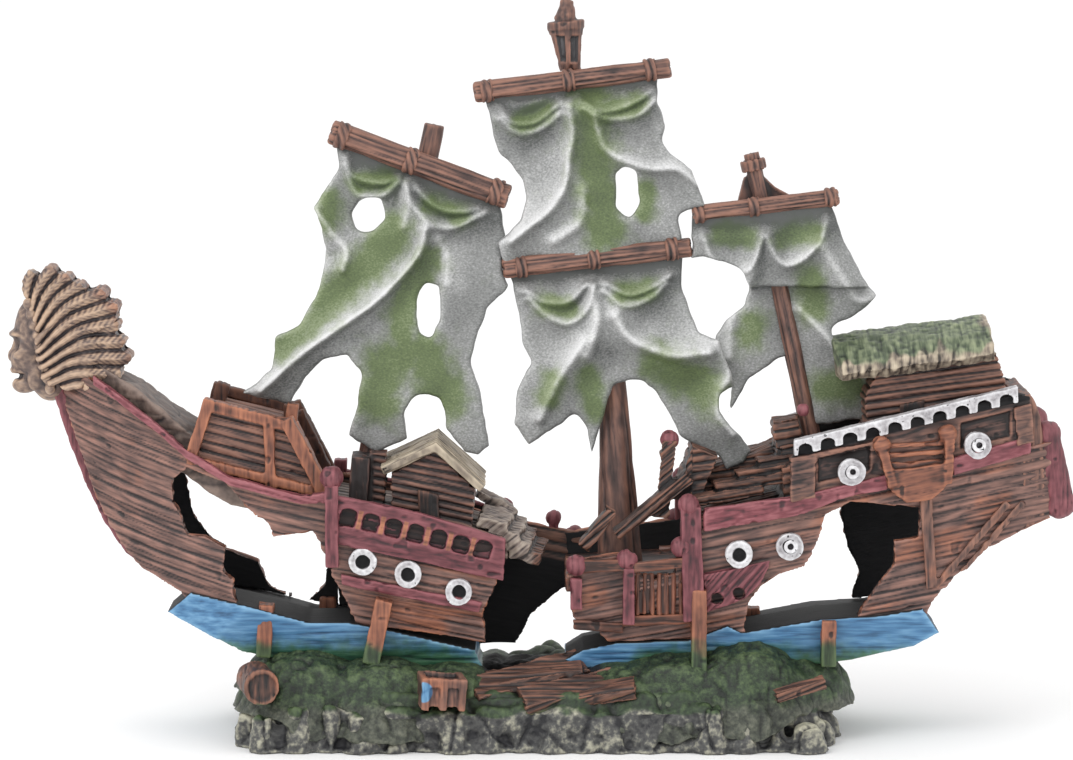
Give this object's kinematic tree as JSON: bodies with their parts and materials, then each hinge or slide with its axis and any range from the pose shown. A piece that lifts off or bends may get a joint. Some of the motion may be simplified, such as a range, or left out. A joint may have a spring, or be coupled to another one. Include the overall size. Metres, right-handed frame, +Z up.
{
  "type": "bubbling aquarium ornament",
  "caption": "Sunken, broken sailing ship on a rock base for an aquarium, with swim-through holes and an air stone that sends bubbles up through the break.",
  "frame": {"origin": "on the flat underside of the rock base, below the middle of the ship", "axes": "+X from the bow to the stern, +Y from the front side to the back, +Z up"},
  "size_m": [0.2983, 0.0969, 0.2057],
  "materials": {
    "timber": "hand-painted resin, red-brown timber with dark wash in the grooves",
    "dark_timber": "hand-painted resin, dark weathered timber",
    "plum_trim": "hand-painted resin, plum trim with worn edges",
    "white_trim": "hand-painted resin, white over black specks",
    "rock": "cast resin rock, cream dry-brush over dark grey",
    "moss": "flocked green moss paint over resin",
    "water": "hand-painted resin, blue fading to green",
    "sailcloth": "cast resin cloth, olive centres and grey-white dry-brushed folds",
    "gilded": "hand-painted resin, gold dry-brush over dark brown",
    "straw": "hand-painted resin, weathered cream boards",
    "mossy_roof": "hand-painted resin, green moss over straw",
    "fitting": "black moulded spigot",
    "tubing": "plain air tube",
    "air_stone": "porous blue-grey bonded grit"
  },
  "bodies": {
    "root": {"base_rock": "rock", "moss_mounds": "moss", "rim_rocks": "rock", "barrel_end": "timber", "sunken_chest": "timber", "driftwood_planks": "dark_timber", "support_stubs": "timber", "keel_fore": "water", "keel_aft": "water", "air_spigot": "fitting", "air_tube": "tubing", "air_stone": "air_stone", "hull_bow_near": "timber", "hull_bow_far": "timber", "hull_mid_near": "timber", "hull_mid_far": "timber", "stem_strake": "plum_trim", "sheer_rail_fore": "plum_trim", "wale_fore": "plum_trim", "window_band": "plum_trim", "port_rings": "white_trim", "fore_deck": "dark_timber", "main_deck": "dark_timber", "forecastle_house": "timber", "forecastle_frame": "timber", "hut_walls": "timber", "hut_roof": "straw", "doors": "dark_timber", "hull_aft_near": "timber", "hull_aft_far": "timber", "sheer_rail_aft": "plum_trim", "balcony": "timber", "balusters": "timber", "trim_posts": "plum_trim", "post_balls": "plum_trim", "lower_panel": "plum_trim", "cannons": "white_trim", "poop_bulwark": "timber", "balustrade": "white_trim", "boat_bay": "timber", "poop_deck": "dark_timber", "stern_frame": "timber", "stern_log": "plum_trim", "poop_cabin": "timber", "cabin_roof": "mossy_roof", "deck_debris": "dark_timber", "fore_mast": "dark_timber", "main_mast": "timber", "mizzen_mast": "timber", "fore_yard": "timber", "main_yards": "timber", "mizzen_yard": "timber", "lashings": "timber", "fore_sail": "sailcloth", "top_sail": "sailcloth", "course_sail": "sailcloth", "mizzen_sail": "sailcloth", "lantern": "timber", "skull": "gilded", "feather_fan": "gilded"}
  },
  "joints": []
}
